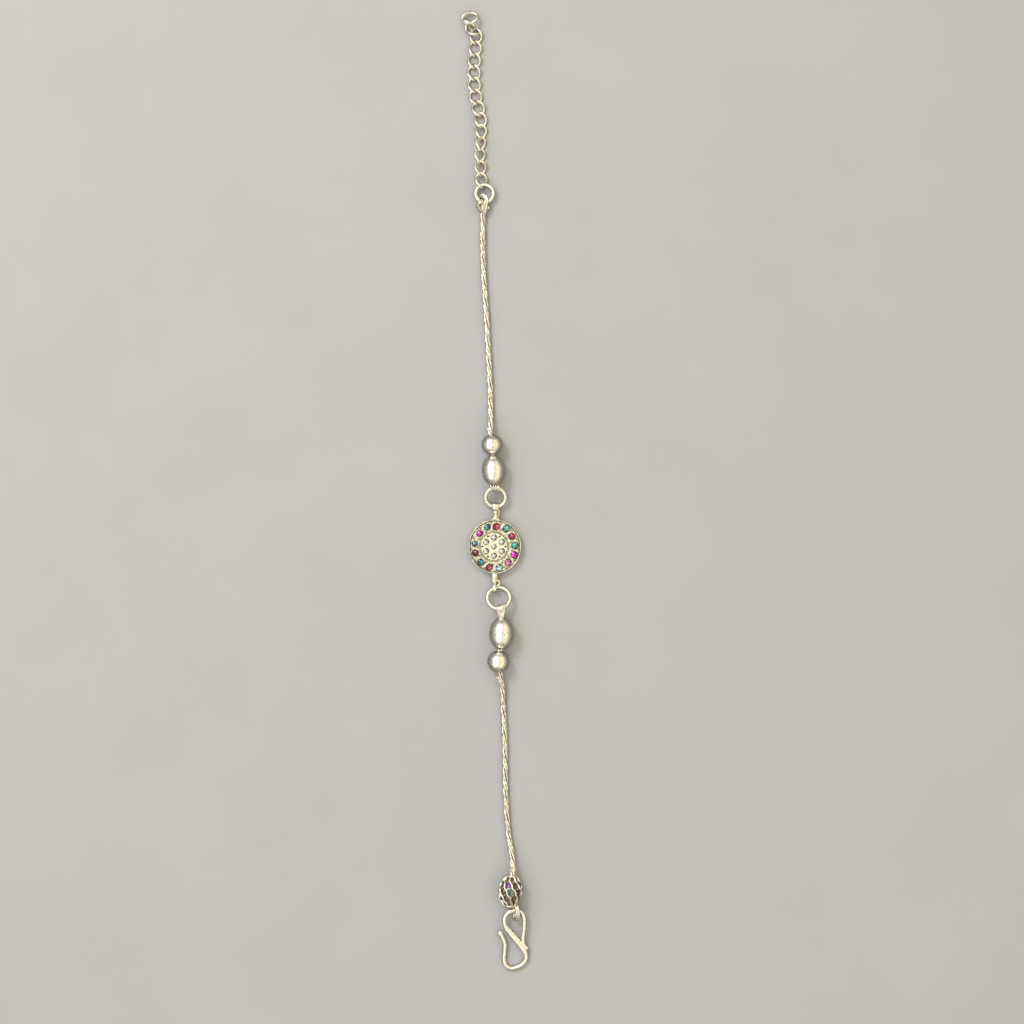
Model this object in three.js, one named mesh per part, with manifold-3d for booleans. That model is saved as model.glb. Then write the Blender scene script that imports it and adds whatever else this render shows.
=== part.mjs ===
// A silver bracelet set with cubic zirconia, unfastened and laid out along Y.
// Millimetres. The medallion's flat back is centred on the origin, +Y runs to the extension
// chain and +Z points up from the surface that the bracelet lies on.
import * as THREE from 'three';
import { mergeVertices } from 'three/addons/utils/BufferGeometryUtils.js';
import Module from 'manifold-3d';

const wasm = await Module();
wasm.setup();

// ---------------------------------------------------------------- driving dimensions

const CHAIN_RADIUS = 0.66;
// How finely round pieces are faceted.
const CHAIN_SIDES = 8;
const CHAIN_STEPS = 30;
const WIRE_SIDES = 6;
const LOOP_STEPS = 16;
const RING_STEPS = 20;
const BEAD_SIDES = 16;
const BEAD_ROWS = 9;

const MEDALLION = {
  radius: 6.15, widthScale: 0.97, edgeChamfer: 0.4,
  rimWidth: 0.45, rimHeight: 1.9, rimBevel: 0.12,
  grooveWidth: 0.18, grooveHeight: 1.5, bandHeight: 1.65,
  discRadius: 3.2, discRim: 0.2, discRimHeight: 1.95, discHeight: 1.8,
};
const SEAT_CLEARANCE = 0.1;

// The border's stones are set by hand, so each has its own angle, distance out and size.
const BORDER_STONE_HEIGHT = 1.78;
const BORDER_STONES = [
  { colour: 'crimson', angle: 86, distance: 4.5, radius: 0.75 },
  { colour: 'green', angle: 58, distance: 4.75, radius: 0.75 },
  { colour: 'crimson', angle: 31, distance: 4.45, radius: 0.7 },
  { colour: 'green', angle: 3, distance: 4.55, radius: 0.75 },
  { colour: 'magenta', angle: -23, distance: 4.75, radius: 0.75 },
  { colour: 'pink', angle: -50, distance: 4.65, radius: 0.7 },
  { colour: 'aqua', angle: -78, distance: 4.8, radius: 0.7 },
  { colour: 'crimson', angle: -105, distance: 4.8, radius: 0.7 },
  { colour: 'teal', angle: -132, distance: 4.75, radius: 0.7 },
  { colour: 'garnet', angle: -162, distance: 4.6, radius: 0.7 },
  { colour: 'steel', angle: 172, distance: 4.55, radius: 0.6 },
  { colour: 'magenta', angle: 139, distance: 4.5, radius: 0.7 },
  { colour: 'teal', angle: 111, distance: 4.65, radius: 0.65 },
];
const CENTRE_STONES = { count: 6, radius: 0.6, distance: 2.05, height: 1.9 };
const MIDDLE_STONE_RADIUS = 0.5;
// A stone's cut, in shares of its radius.
const STONE_CUT = { depth: 0.95, girdle: 0.12, table: 0.56, crown: 0.3 };
// The raised centre disc sits a little off the middle, as it was soldered.
const CENTRE_OFFSET = -0.2;

// Eyes soldered to the medallion: side is +1 towards the extension chain, -1 towards the hook.
const MEDALLION_EYES = [
  {
    side: 1, x: 0.22, z: 1.35, reach: 8.84, hole: 0.58, wire: 0.5, width: 0.9,
    neckWidth: 1.0, flare: 2.0,
  },
  {
    side: -1, x: -0.05, z: 1.25, reach: 9.3, hole: 0.66, wire: 0.5, width: 0.9,
    neckWidth: 1.3, flare: 1.3,
  },
];

const EYE_BAR = { thickness: 1.1, insideEdge: 0.75, pastEdge: 0.9 };

// A ring spans two strands: its near strand hangs in one eye and its far strand in the other.
const RINGS = {
  jump_ring_upper: { x: 0.14, y: 11.03, radius: 2.235, wire: 0.88, lowZ: 1.35, highZ: 2.62, rise: 1 },
  jump_ring_lower: { x: 0.85, y: -11.5, radius: 2.545, wire: 0.83, lowZ: 1.25, highZ: 3.0, rise: -1 },
  end_ring: { x: -2.32, y: 79.27, radius: 1.99, wire: 0.82, lowZ: 1.1, highZ: 1.3, rise: -1 },
};

const BEAD_HOLE = 1.2;
const BEADS = {
  round_bead_upper: { x: -0.61, y: 22.85, radius: 2.43, length: 4.55 },
  oval_bead_upper: { x: -0.27, y: 17.15, radius: 2.65, length: 6.6 },
  oval_bead_lower: { x: 1.55, y: -19.45, radius: 2.78, length: 7.15 },
  round_bead_lower: { x: 0.82, y: -25.75, radius: 2.5, length: 4.75 },
};

const STONE_BEAD = {
  x: 3.5, y: -77.1, lean: 5, length: 6.6,
  radius: 2.8, shoulderRadius: 2.6, endRadius: 2.3, holeRadius: 1.85, boreRadius: 2.05,
};

// Each chain runs from the loop on its jump ring, through its beads, to its far end.
const UPPER_ROUTE = [
  { x: -0.1, y: 13.95, z: 2.62 },
  { x: -0.27, y: 17.2, z: 2.6 },
  { x: -0.65, y: 22.97, z: 2.35 },
  { x: -1.0, y: 25.6, z: 2.12 },
  { x: -0.95, y: 29.0, z: 1.3 },
  { x: -1.0, y: 32.8, z: 0.74 },
  { x: -1.04, y: 36.0, z: 0.7 },
  { x: -1.36, y: 42.4, z: 0.7 },
  { x: -1.87, y: 51.9, z: 0.7 },
  { x: -2.52, y: 61.8, z: 0.7 },
  { x: -2.7, y: 68.7, z: 0.7 },
  { x: -2.66, y: 72.6, z: 0.7 },
  { x: -2.6, y: 76.5, z: 1.3 },
];
const LOWER_ROUTE = [
  { x: 1.42, y: -14.65, z: 3.0 },
  { x: 1.52, y: -19.5, z: 2.75 },
  { x: 1.1, y: -25.8, z: 2.42 },
  { x: 1.3, y: -28.6, z: 2.12 },
  { x: 1.75, y: -32.0, z: 1.3 },
  { x: 1.87, y: -35.6, z: 0.74 },
  { x: 2.05, y: -38.6, z: 0.7 },
  { x: 2.27, y: -44.2, z: 0.7 },
  { x: 2.43, y: -54.5, z: 0.7 },
  { x: 2.75, y: -60.8, z: 0.7 },
  { x: 3.2, y: -65.2, z: 0.74 },
  { x: 3.9, y: -69.8, z: 1.45 },
  { x: 4.2, y: -73.8, z: 2.35 },
  { x: 4.25, y: -77.1, z: 2.45 },
  { x: 4.5, y: -80.7, z: 2.1 },
];
const ROUTE_SAMPLES = 400;

// Loops that the chain's ends make round a ring or the hook, in a plane along Y and Z.
const CHAIN_LOOPS = {
  upperBead: { x: -0.08, y: 13.13, z: 2.62, halfLength: 0.88, halfHeight: 0.82, wire: 0.5, width: 1.45 },
  lowerBead: { x: 1.4, y: -13.84, z: 3.0, halfLength: 0.92, halfHeight: 0.82, wire: 0.5, width: 1.5 },
  hook: { x: 4.75, y: -81.85, z: 2.05, halfLength: 1.27, halfHeight: 0.92, wire: 0.66, width: 0.86 },
  endRing: { x: -2.62, y: 77.42, z: 1.3, halfLength: 1.0, halfHeight: 0.76, wire: 0.5, width: 1.1 },
};
// The chain's spare end, wound round its own neck below the end ring.
const NECK_WRAP = { x: -2.75, y: 75.75, z: 1.2, radius: 0.85, wire: 0.62, pitch: 20 };
// Short tails where the chain comes back out of the round beads.
const TAILS = {
  upper: [{ x: -1.1, y: 25.55, z: 2.2 }, { x: -1.45, y: 26.0, z: 2.1 }, { x: -1.75, y: 26.6, z: 1.95 }],
  lower: [{ x: 1.1, y: -29.9, z: 1.85 }, { x: 0.6, y: -29.5, z: 1.95 }, { x: 0.1, y: -29.05, z: 2.05 }],
};
const TAIL_RADIUS = 0.4;

// The hook tilts: its wire rises from lowZ at lowY by slope for each millimetre along Y.
const HOOK = {
  wireRadius: 0.48, lowZ: 0.48, lowY: -94.9, slope: 0.115, steps: 36, legSteps: 12,
};
// The S runs from the top of its upper loop to the free tip; the leg closes the upper loop.
const HOOK_S = [
  { x: 5.2, y: -81.6 }, { x: 4.0, y: -81.55 }, { x: 2.8, y: -82.25 }, { x: 2.12, y: -83.5 },
  { x: 2.4, y: -85.1 }, { x: 3.6, y: -86.75 }, { x: 5.15, y: -88.75 }, { x: 6.55, y: -90.55 },
  { x: 7.02, y: -91.8 }, { x: 6.85, y: -93.0 }, { x: 5.95, y: -94.0 },
  { x: 4.75, y: -94.65 }, { x: 3.4, y: -94.75 }, { x: 2.38, y: -93.95 }, { x: 2.05, y: -92.5 },
  { x: 2.22, y: -90.8 }, { x: 2.25, y: -89.2 }, { x: 1.75, y: -87.75 }, { x: 1.05, y: -86.35 },
];
const HOOK_LEG = [
  { x: 5.0, y: -81.58 }, { x: 6.05, y: -82.1 }, { x: 6.58, y: -83.2 }, { x: 6.66, y: -84.8 },
  { x: 6.5, y: -86.6 }, { x: 6.35, y: -88.3 }, { x: 6.6, y: -89.5 }, { x: 7.3, y: -90.3 },
];

const LINK = { floorGap: 0.01, halfLength: 1.7, halfWidth: 1.3, wire: 0.52, twist: 45, steps: 16 };
const LINK_ROUTE = [
  { x: -3.05, y: 82.1 }, { x: -3.36, y: 87.5 }, { x: -3.15, y: 92.9 }, { x: -3.3, y: 96.3 },
  { x: -4.4, y: 101.5 }, { x: -4.72, y: 106.5 }, { x: -4.3, y: 114.62 },
];
const ROUTE_LINKS = 13;
// Links that lie askew: roll is about the chain, pitch lifts the end further from the medallion.
const LINK_CHANGES = {
  1: { x: -3.05, y: 82.08, heading: 8, pitch: 2, roll: 28, twist: 50 },
  2: { roll: 36, pitch: 3 },
  3: { roll: 44, pitch: 3 },
  4: { roll: 50, pitch: -3 },
  5: { roll: 34, pitch: -7 },
  6: { roll: 17, pitch: -6 },
  7: { roll: 4, pitch: -3 },
};
// The last three links, heaped on each other.
const HEAPED_LINKS = [
  { x: -5.05, y: 116.25, z: 0.87, heading: 50, pitch: -3, roll: 12 },
  { x: -5.75, y: 117.4, z: 1.56, heading: 43, pitch: 5, roll: 90 },
  { x: -5.6, y: 118.6, z: 1.25, heading: 95, pitch: -3, roll: 38 },
];

// ---------------------------------------------------------------- materials

const SILVER = { color: 0xe6e0cf, roughness: 0.22, metalness: 1 };
const STONE_COLOURS = {
  clear: 0xdde3e6, crimson: 0x9c1736, green: 0x1f7d68, magenta: 0xd01fa4, pink: 0xd77fb4,
  aqua: 0xa9dcdf, teal: 0x2c7f94, garnet: 0x5e0f22, steel: 0x2f6f86,
};

const silver = () => new THREE.MeshStandardMaterial(SILVER);
const stone = (colour) => new THREE.MeshStandardMaterial({
  color: STONE_COLOURS[colour], roughness: 0.05, metalness: 0,
});

// ---------------------------------------------------------------- solids and joins

const rad = THREE.MathUtils.degToRad;
const toVectors = (rows) => rows.map(({ x, y, z = 0 }) => new THREE.Vector3(x, y, z));

// Keeps each triangle that has an area and turns them all outwards.
function outwardTriangles(geometry) {
  const position = geometry.attributes.position;
  const corner = (index) => new THREE.Vector3().fromBufferAttribute(position, index);
  const kept = [];
  let volume = 0;
  for (let i = 0; i < geometry.index.count; i += 3) {
    const [a, b, c] = [0, 1, 2].map((step) => geometry.index.getX(i + step));
    if (a === b || b === c || c === a) continue;
    volume += corner(a).dot(corner(b).cross(corner(c)));
    kept.push([a, b, c]);
  }
  return kept.flatMap(([a, b, c]) => (volume < 0 ? [a, c, b] : [a, b, c]));
}

function toSolid(geometry) {
  const bare = geometry.clone();
  bare.deleteAttribute('normal');
  bare.deleteAttribute('uv');
  const merged = mergeVertices(bare, 1e-4);
  return new wasm.Manifold(new wasm.Mesh({
    numProp: 3,
    vertProperties: Float32Array.from(merged.attributes.position.array),
    triVerts: Uint32Array.from(outwardTriangles(merged)),
  }));
}

function toGeometry(solid) {
  const mesh = solid.getMesh();
  const geometry = new THREE.BufferGeometry();
  geometry.setAttribute('position', new THREE.BufferAttribute(mesh.vertProperties, 3));
  geometry.setIndex(new THREE.BufferAttribute(mesh.triVerts, 1));
  geometry.computeVertexNormals();
  return geometry;
}

const join = (geometries) => geometries.map(toSolid).reduce((whole, next) => whole.add(next));

function node(name, shape, material) {
  const solid = shape instanceof wasm.Manifold ? shape : toSolid(shape);
  const mesh = new THREE.Mesh(toGeometry(solid), material);
  mesh.name = name;
  return mesh;
}

// ---------------------------------------------------------------- shapes

function roundSection(radius, sides) {
  const corners = [];
  for (let i = 0; i < sides; i += 1) {
    const angle = (2 * Math.PI * i) / sides;
    corners.push(new THREE.Vector2(radius * Math.cos(angle), radius * Math.sin(angle)));
  }
  return new THREE.Shape(corners);
}

function openTube(rows, radius, steps, sides) {
  const extrudePath = new THREE.CatmullRomCurve3(toVectors(rows), false, 'centripetal');
  return new THREE.ExtrudeGeometry(roundSection(radius, sides), { steps, extrudePath });
}

class TwistedOval extends THREE.Curve {
  constructor(halfLength, halfWidth, twist) {
    super();
    Object.assign(this, { halfLength, halfWidth, twist });
  }

  getPoint(t, target = new THREE.Vector3()) {
    const angle = 2 * Math.PI * t;
    const side = this.halfWidth * Math.cos(angle);
    const turn = this.twist * Math.sin(angle);
    return target.set(side * Math.cos(turn), this.halfLength * Math.sin(angle), side * Math.sin(turn));
  }
}

// A closed wire oval that stands in the plane of Y and Z, its wire broadened along X.
function bandLoop({ x, y, z, halfLength, halfHeight, wire, width }) {
  const oval = new TwistedOval(halfLength, halfHeight, 0);
  const loop = new THREE.TubeGeometry(oval, LOOP_STEPS, wire / 2, WIRE_SIDES, true);
  return loop.rotateY(Math.PI / 2).scale(width / wire, 1, 1).translate(x, y, z);
}

// ---------------------------------------------------------------- medallion and its stones

const toProfile = (rows) => rows.map(([r, z]) => new THREE.Vector2(r, z));

function rimProfile() {
  const m = MEDALLION;
  const rimInner = m.radius - m.rimWidth;
  const grooveInner = rimInner - m.grooveWidth;
  return toProfile([
    [0, 0], [m.radius - m.edgeChamfer, 0], [m.radius, m.edgeChamfer],
    [m.radius, m.rimHeight - m.rimBevel], [m.radius - m.rimBevel, m.rimHeight],
    [rimInner, m.rimHeight], [rimInner - m.rimBevel / 2, m.grooveHeight],
    [grooveInner, m.bandHeight], [0, m.bandHeight],
  ]);
}

function centreProfile() {
  const m = MEDALLION;
  const lipInner = m.discRadius - m.discRim;
  return toProfile([
    [0, 1], [m.discRadius + 0.1, 1], [m.discRadius, m.discRimHeight], [lipInner, m.discRimHeight],
    [lipInner - 0.1, m.discHeight], [0, m.discHeight],
  ]);
}

function stonePlace(angle, distance, z, radius, offset = 0) {
  const x = offset + distance * Math.cos(rad(angle));
  return { x, y: distance * Math.sin(rad(angle)), z, radius };
}

const borderPlaces = BORDER_STONES.map(({ angle, distance, radius }) => (
  stonePlace(angle, distance, BORDER_STONE_HEIGHT, radius)
));
const centrePlaces = [stonePlace(0, 0, CENTRE_STONES.height, MIDDLE_STONE_RADIUS, CENTRE_OFFSET)];
for (let i = 0; i < CENTRE_STONES.count; i += 1) {
  const { count, distance, height, radius } = CENTRE_STONES;
  centrePlaces.push(stonePlace(90 - (360 / count) * i, distance, height, radius, CENTRE_OFFSET));
}

// A round cut stone; z = 0 is the top edge of its girdle.
function cutStone(radius, sides) {
  const { depth, girdle, table, crown } = STONE_CUT;
  const profile = toProfile([[0, -depth], [1, -girdle], [1, 0], [table, crown], [0, crown]]);
  profile.forEach((point) => point.multiplyScalar(radius));
  return new THREE.LatheGeometry(profile, sides).rotateX(Math.PI / 2);
}

function stoneSeat({ x, y, z, radius }, sides) {
  const depth = STONE_CUT.depth * radius + SEAT_CLEARANCE;
  const height = depth + MEDALLION.rimHeight;
  const seatRadius = radius + SEAT_CLEARANCE;
  return new THREE.CylinderGeometry(seatRadius, seatRadius, height, sides)
    .rotateX(Math.PI / 2)
    .translate(x, y, z - depth + height / 2);
}

function soldered({ side, x, z, reach, hole, wire, width, neckWidth, flare }) {
  const radius = hole + wire / 2;
  const loop = bandLoop({ x, y: side * reach, z, halfLength: radius, halfHeight: radius, wire, width });
  const { thickness, insideEdge, pastEdge } = EYE_BAR;
  const root = MEDALLION.radius - insideEdge;
  const waist = MEDALLION.radius + pastEdge;
  const bend = MEDALLION.radius + pastEdge / 4;
  const neck = new THREE.Shape();
  neck.moveTo(-flare, root);
  neck.quadraticCurveTo(-neckWidth / 2, bend, -neckWidth / 2, waist);
  neck.lineTo(-width / 2, reach - radius);
  neck.lineTo(width / 2, reach - radius);
  neck.lineTo(neckWidth / 2, waist);
  neck.quadraticCurveTo(neckWidth / 2, bend, flare, root);
  const options = { depth: thickness, bevelEnabled: false, curveSegments: 4 };
  const bar = new THREE.ExtrudeGeometry(neck, options)
    .translate(x, 0, z - thickness / 2)
    .rotateZ(side > 0 ? 0 : Math.PI);
  if (side < 0) bar.translate(2 * x, 0, 0);
  return [loop, bar];
}

function medallion() {
  const rim = new THREE.LatheGeometry(rimProfile(), 36).rotateX(Math.PI / 2);
  const centreDisc = new THREE.LatheGeometry(centreProfile(), 24).rotateX(Math.PI / 2);
  rim.scale(MEDALLION.widthScale, 1, 1);
  centreDisc.scale(MEDALLION.widthScale, 1, 1).translate(CENTRE_OFFSET, 0, 0);
  const whole = join([rim, centreDisc, ...MEDALLION_EYES.flatMap(soldered)]);
  const seats = [
    ...borderPlaces.map((place) => stoneSeat(place, 8)),
    ...centrePlaces.map((place) => stoneSeat(place, 6)),
  ];
  return seats.map(toSolid).reduce((left, seat) => left.subtract(seat), whole);
}

function stones(prefix, places, sides, colours) {
  return places.map((place, i) => {
    const name = `${prefix}_${String(i + 1).padStart(2, '0')}`;
    const mesh = node(name, cutStone(place.radius, sides), stone(colours[i]));
    mesh.position.set(place.x, place.y, place.z);
    return mesh;
  });
}

// ---------------------------------------------------------------- rings, beads and chains

function ring(name, { x, y, radius, wire, lowZ, highZ, rise }) {
  const mesh = node(name, new THREE.TorusGeometry(radius, wire / 2, WIRE_SIDES, RING_STEPS), silver());
  mesh.rotation.x = rise * Math.asin((highZ - lowZ) / (2 * radius));
  mesh.position.set(x, y, (lowZ + highZ) / 2);
  return mesh;
}

// A barrel about Y with a bore right through it.
function barrel(radius, length, hole) {
  const end = Math.acos(hole / radius);
  const pole = length / 2 / Math.sin(end);
  const profile = [];
  for (let i = 0; i <= BEAD_ROWS; i += 1) {
    const angle = end * ((2 * i) / BEAD_ROWS - 1);
    profile.push(new THREE.Vector2(radius * Math.cos(angle), pole * Math.sin(angle)));
  }
  profile.push(profile[0].clone());
  return new THREE.LatheGeometry(profile, BEAD_SIDES);
}

function bead(name, { x, y, radius, length }, route) {
  const mesh = node(name, barrel(radius, length, BEAD_HOLE), silver());
  const along = directionAt(route, y);
  mesh.quaternion.setFromUnitVectors(new THREE.Vector3(0, 1, 0), along);
  mesh.position.set(x, y, radius);
  return mesh;
}

// The direction of a route, towards +Y, where it crosses the given y.
function directionAt(rows, y) {
  const curve = new THREE.CatmullRomCurve3(toVectors(rows), false, 'centripetal');
  const misses = curve.getSpacedPoints(ROUTE_SAMPLES).map((point) => Math.abs(point.y - y));
  const tangent = curve.getTangentAt(misses.indexOf(Math.min(...misses)) / ROUTE_SAMPLES);
  return tangent.y < 0 ? tangent.negate() : tangent;
}

function chain(route, loops, extras) {
  const strand = openTube(route, CHAIN_RADIUS, CHAIN_STEPS, CHAIN_SIDES);
  return join([strand, ...loops.map(bandLoop), ...extras]);
}

function neckWrap({ x, y, z, radius, wire, pitch }) {
  return new THREE.TorusGeometry(radius, wire / 2, WIRE_SIDES, LOOP_STEPS)
    .rotateX(Math.PI / 2)
    .rotateZ(rad(pitch))
    .translate(x, y, z);
}

function stoneBead() {
  const b = STONE_BEAD;
  const half = b.length / 2;
  const shoulder = half / 2;
  const profile = toProfile([
    [b.holeRadius, -half], [b.endRadius, -half], [b.shoulderRadius, -shoulder], [b.radius, 0],
    [b.shoulderRadius, shoulder], [b.endRadius, half], [b.holeRadius, half],
    [b.boreRadius, shoulder], [b.boreRadius, -shoulder], [b.holeRadius, -half],
  ]);
  const mesh = node('stone_bead', new THREE.LatheGeometry(profile, BEAD_SIDES), silver());
  mesh.rotation.z = rad(b.lean);
  mesh.position.set(b.x, b.y, b.radius);
  return mesh;
}

// ---------------------------------------------------------------- hook

function hook() {
  const lift = ({ x, y }) => ({ x, y, z: HOOK.lowZ + HOOK.slope * (y - HOOK.lowY) });
  return join([
    openTube(HOOK_S.map(lift), HOOK.wireRadius, HOOK.steps, CHAIN_SIDES),
    openTube(HOOK_LEG.map(lift), HOOK.wireRadius, HOOK.legSteps, CHAIN_SIDES),
  ]);
}

// ---------------------------------------------------------------- extension chain

function link(number, { heading, pitch = 0, roll = 0, twist = LINK.twist, x, y, z }) {
  const curve = new TwistedOval(LINK.halfLength, LINK.halfWidth, rad(twist));
  const tube = new THREE.TubeGeometry(curve, LINK.steps, LINK.wire / 2, WIRE_SIDES, true);
  const mesh = node(`extension_link_${String(number).padStart(2, '0')}`, tube, silver());
  mesh.rotation.set(rad(pitch), rad(roll), rad(heading), 'ZXY');
  const lowest = new THREE.Box3().setFromObject(mesh, true).min.z;
  mesh.position.set(x, y, z ?? LINK.floorGap - lowest);
  return mesh;
}

function extensionLinks() {
  const curve = new THREE.CatmullRomCurve3(toVectors(LINK_ROUTE), false, 'centripetal');
  const regular = Array.from({ length: ROUTE_LINKS }, (_, i) => {
    const t = i / (ROUTE_LINKS - 1);
    const point = curve.getPointAt(t);
    const tangent = curve.getTangentAt(t);
    const heading = THREE.MathUtils.radToDeg(Math.atan2(-tangent.x, tangent.y));
    return link(i + 1, { heading, x: point.x, y: point.y, ...LINK_CHANGES[i + 1] });
  });
  const heaped = HEAPED_LINKS.map((place, i) => link(ROUTE_LINKS + 1 + i, place));
  return [...regular, ...heaped];
}

// ---------------------------------------------------------------- the whole bracelet

const centre = new THREE.Group();
centre.add(
  node('medallion', medallion(), silver()),
  ...stones('border_stone', borderPlaces, 8, BORDER_STONES.map(({ colour }) => colour)),
  ...stones('centre_stone', centrePlaces, 6, centrePlaces.map(() => 'clear')),
);

const upperSide = new THREE.Group();
upperSide.add(
  ring('jump_ring_upper', RINGS.jump_ring_upper),
  bead('oval_bead_upper', BEADS.oval_bead_upper, UPPER_ROUTE),
  bead('round_bead_upper', BEADS.round_bead_upper, UPPER_ROUTE),
  node('chain_upper', chain(
    UPPER_ROUTE,
    [CHAIN_LOOPS.upperBead, CHAIN_LOOPS.endRing],
    [openTube(TAILS.upper, TAIL_RADIUS, 3, WIRE_SIDES), neckWrap(NECK_WRAP)],
  ), silver()),
  ring('end_ring', RINGS.end_ring),
  ...extensionLinks(),
);

const lowerSide = new THREE.Group();
lowerSide.add(
  ring('jump_ring_lower', RINGS.jump_ring_lower),
  bead('oval_bead_lower', BEADS.oval_bead_lower, LOWER_ROUTE),
  bead('round_bead_lower', BEADS.round_bead_lower, LOWER_ROUTE),
  node('chain_lower', chain(
    LOWER_ROUTE,
    [CHAIN_LOOPS.lowerBead, CHAIN_LOOPS.hook],
    [openTube(TAILS.lower, TAIL_RADIUS, 3, WIRE_SIDES)],
  ), silver()),
  stoneBead(),
  node('s_hook', hook(), silver()),
);

const bracelet = new THREE.Group();
bracelet.add(centre, upperSide, lowerSide);

export default bracelet;
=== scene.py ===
"""Looks of the cubic zirconia bracelet: silver wire, beads, medallion and cut stones on the CAD frame.

Sizes and places are in millimetres, in the CAD's own axes; mesh_object turns them into metres.
"""
import math

import bpy
import numpy as np
from mathutils import Matrix, Vector


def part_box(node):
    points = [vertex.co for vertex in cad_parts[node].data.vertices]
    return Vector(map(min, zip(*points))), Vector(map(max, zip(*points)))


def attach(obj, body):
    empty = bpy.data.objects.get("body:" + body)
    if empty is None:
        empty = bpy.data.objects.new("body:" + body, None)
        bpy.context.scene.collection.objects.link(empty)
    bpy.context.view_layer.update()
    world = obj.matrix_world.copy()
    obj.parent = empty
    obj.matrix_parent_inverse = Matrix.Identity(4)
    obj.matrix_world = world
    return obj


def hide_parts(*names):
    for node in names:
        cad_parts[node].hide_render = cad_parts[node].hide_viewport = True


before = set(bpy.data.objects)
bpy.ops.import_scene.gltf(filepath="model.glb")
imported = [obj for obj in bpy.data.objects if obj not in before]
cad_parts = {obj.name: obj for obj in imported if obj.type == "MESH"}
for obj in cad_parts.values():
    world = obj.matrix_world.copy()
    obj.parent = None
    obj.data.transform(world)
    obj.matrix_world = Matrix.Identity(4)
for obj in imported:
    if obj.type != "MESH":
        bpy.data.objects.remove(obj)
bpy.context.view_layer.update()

MM = 0.001
X, Y, Z = np.eye(3)


# -------- sizes and places

# A chain: two plies of two wires. wire is a wire's radius, lay the length of a turn, and the wires of a ply
# open and close by gap_swing every swing millimetres. Painted shade darkens the wires within shade_radius of
# the chain's middle, fading over shade_fade. Through the beads the chain is drawn to the share tight of its
# size, and eases back over tight_run.
CHAIN = dict(ply_offset=0.31, wire=0.29, wire_gap=0.23, gap_swing=0.04, swing=2.3, lay=9.2, step=0.2,
             sides=10, shade_radius=0.46, shade_fade=0.26, tight=0.84, tight_run=1.2)

# The medallion: a band of stones round a raised disc, whose middle is at centre_x and whose edge slopes from
# disc to disc_foot. Its outline is narrower along X, by width_scale.
MEDALLION = dict(radius=6.15, width_scale=0.97, band_height=1.65, disc=3.0, disc_foot=3.15,
                 disc_height=1.8, centre_x=-0.2)

# Rings: wire is the CAD's diameter, low and high are the centre line's lowest and highest points, and rise
# is 1 where the +Y side is the high one.
RINGS = {
    "jump_ring_upper": dict(x=0.14, y=11.03, radius=2.235, wire=0.88, low=1.35, high=2.62, rise=1),
    "jump_ring_lower": dict(x=0.85, y=-11.5, radius=2.545, wire=0.83, low=1.25, high=3.0, rise=-1),
    "end_ring": dict(x=-2.32, y=79.27, radius=1.99, wire=0.82, low=1.1, high=1.3, rise=-1),
}
# The look's ring wire as a share of the CAD's, and its seam as a share of the wire.
RING_WIRE = 1.07
SEAM_SHARE = 0.86

# Beads: holes are the radii of the holes at the -Y and +Y ends.
BEADS = {
    "round_bead_upper": dict(x=-0.61, y=22.85, radius=2.43, length=4.55, holes=(0.72, 0.85)),
    "oval_bead_upper": dict(x=-0.27, y=17.15, radius=2.65, length=6.6, holes=(1.15, 0.72)),
    "oval_bead_lower": dict(x=1.55, y=-19.45, radius=2.78, length=7.15, holes=(0.76, 0.85)),
    "round_bead_lower": dict(x=0.82, y=-25.75, radius=2.5, length=4.75, holes=(1.02, 0.95)),
}
BEAD_WALL = 0.3
# The inside's reach towards a hole as a share of the outside's: the rest is the lip.
LIP_SHARE = 0.96
# What is left off each end of a bead, so that the neck of wires shows.
NECK_ROOM = 0.1

# The stone-set bead: lean is in degrees from +Y. Its outline bends from radius to end_radius.
STONE_BEAD = dict(x=3.5, y=-77.1, lean=5, length=7.0, radius=2.8, end_radius=1.15, bend=1.7)

# The chains' routes, outward from the medallion: x, y and z of their middle.
UPPER_ROUTE = [
    (-0.1, 13.95, 2.62), (-0.27, 17.2, 2.6), (-0.65, 22.97, 2.35), (-1.0, 25.6, 2.12),
    (-0.95, 29.0, 1.3), (-1.0, 32.8, 0.74), (-1.04, 36.0, 0.7), (-1.36, 42.4, 0.7),
    (-1.87, 51.9, 0.7), (-2.52, 61.8, 0.7), (-2.7, 68.7, 0.7), (-2.66, 72.6, 0.7), (-2.6, 76.5, 1.3),
]
LOWER_ROUTE = [
    (1.42, -14.65, 3.0), (1.52, -19.5, 2.75), (1.1, -25.8, 2.42), (1.3, -28.6, 2.12),
    (1.75, -32.0, 1.3), (1.87, -35.6, 0.74), (2.05, -38.6, 0.7), (2.27, -44.2, 0.7),
    (2.43, -54.5, 0.7), (2.75, -60.8, 0.7), (3.2, -65.2, 0.74), (3.9, -69.8, 1.45),
    (4.05, -73.8, 2.5), (3.9, -77.1, 2.62), (4.05, -78.9, 2.4), (4.5, -80.7, 2.1),
]

# Short tails where the chain comes back out of the round beads.
TAILS = {
    "upper": [(-1.1, 25.55, 2.2), (-1.45, 26.0, 2.1), (-1.75, 26.6, 1.95)],
    "lower": [(1.1, -29.9, 1.85), (0.6, -29.5, 1.95), (0.1, -29.05, 2.05)],
}

# The hook: wire is its radius. It rises by slope for each millimetre from low_y towards +Y.
HOOK = dict(wire=0.48, low_z=0.48, low_y=-94.9, slope=0.115)
HOOK_S = [
    (5.2, -81.6), (4.0, -81.55), (2.8, -82.25), (2.12, -83.5), (2.4, -85.1), (3.6, -86.75),
    (5.15, -88.75), (6.55, -90.55), (7.02, -91.8), (6.85, -93.0), (5.95, -94.0), (4.75, -94.65),
    (3.4, -94.75), (2.38, -93.95), (2.05, -92.5), (2.22, -90.8), (2.25, -89.2), (1.75, -87.75),
    (1.05, -86.35),
]
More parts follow.
